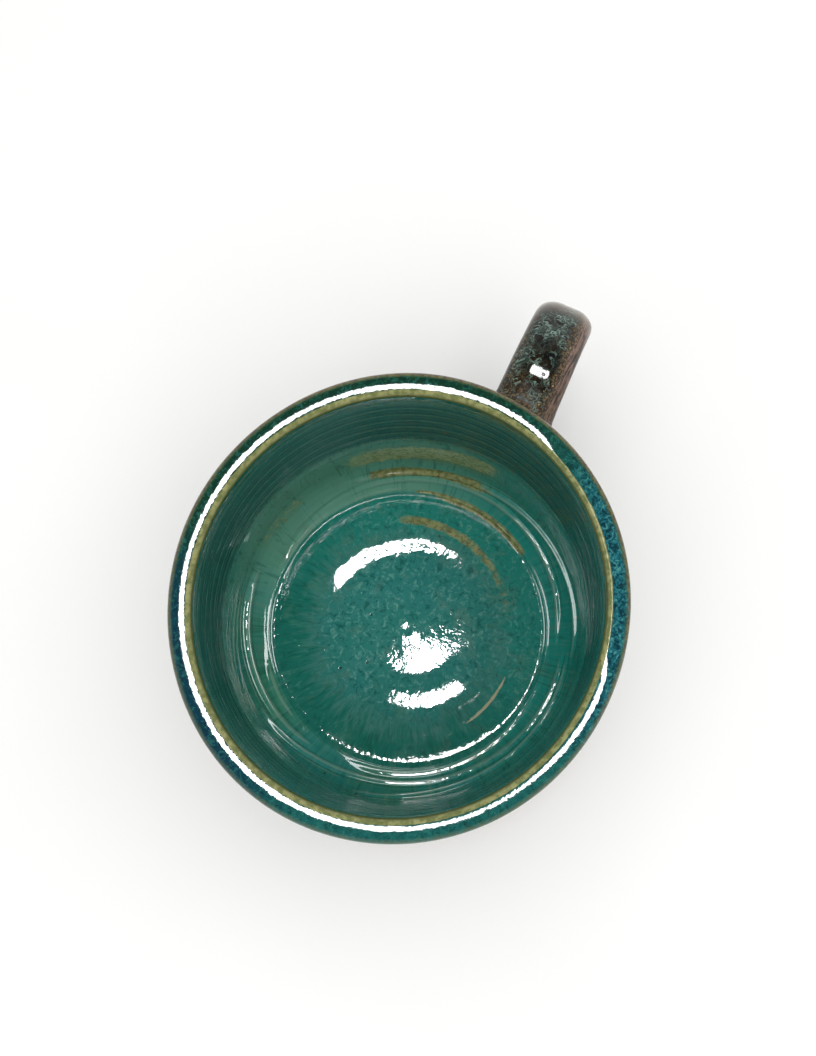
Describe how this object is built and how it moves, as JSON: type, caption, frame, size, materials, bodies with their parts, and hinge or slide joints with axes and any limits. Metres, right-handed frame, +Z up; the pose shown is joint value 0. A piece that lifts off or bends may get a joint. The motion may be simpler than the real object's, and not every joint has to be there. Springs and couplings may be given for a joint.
{
  "type": "mug",
  "caption": "Wheel-thrown stoneware mug with a gentle barrel body, trimmed foot ring and pulled strap handle, glazed inside and out.",
  "frame": {"origin": "centre of the foot ring's resting plane, on the axis of the thrown body", "axes": "+Z up through the mouth, +X from the axis to where the handle leaves the wall"},
  "size_m": [0.138, 0.103, 0.091],
  "materials": {
    "bare_stoneware": "unglazed buff-brown stoneware, matt",
    "handle_clay": "stoneware under the glaze",
    "upper_joint_clay": "stoneware slip joint under the glaze",
    "lower_joint_clay": "stoneware slip joint under the glaze",
    "teal_liner": "glossy teal glaze, streaked where it pools, olive where it breaks over ridges",
    "blue_green_rim": "glossy mottled blue and green glaze breaking to olive-brown at the lip's edges",
    "dark_outside": "glossy dark brown glaze with pale blue-green mottle",
    "dark_handle": "glossy dark brown glaze with pale blue-green mottle, brown on the edges"
  },
  "bodies": {
    "root": {"thrown_body": "bare_stoneware", "pulled_handle": "handle_clay", "upper_handle_joint": "upper_joint_clay", "lower_handle_joint": "lower_joint_clay", "liner_glaze": "teal_liner", "rim_glaze": "blue_green_rim", "outside_glaze": "dark_outside", "handle_glaze": "dark_handle"}
  },
  "joints": []
}
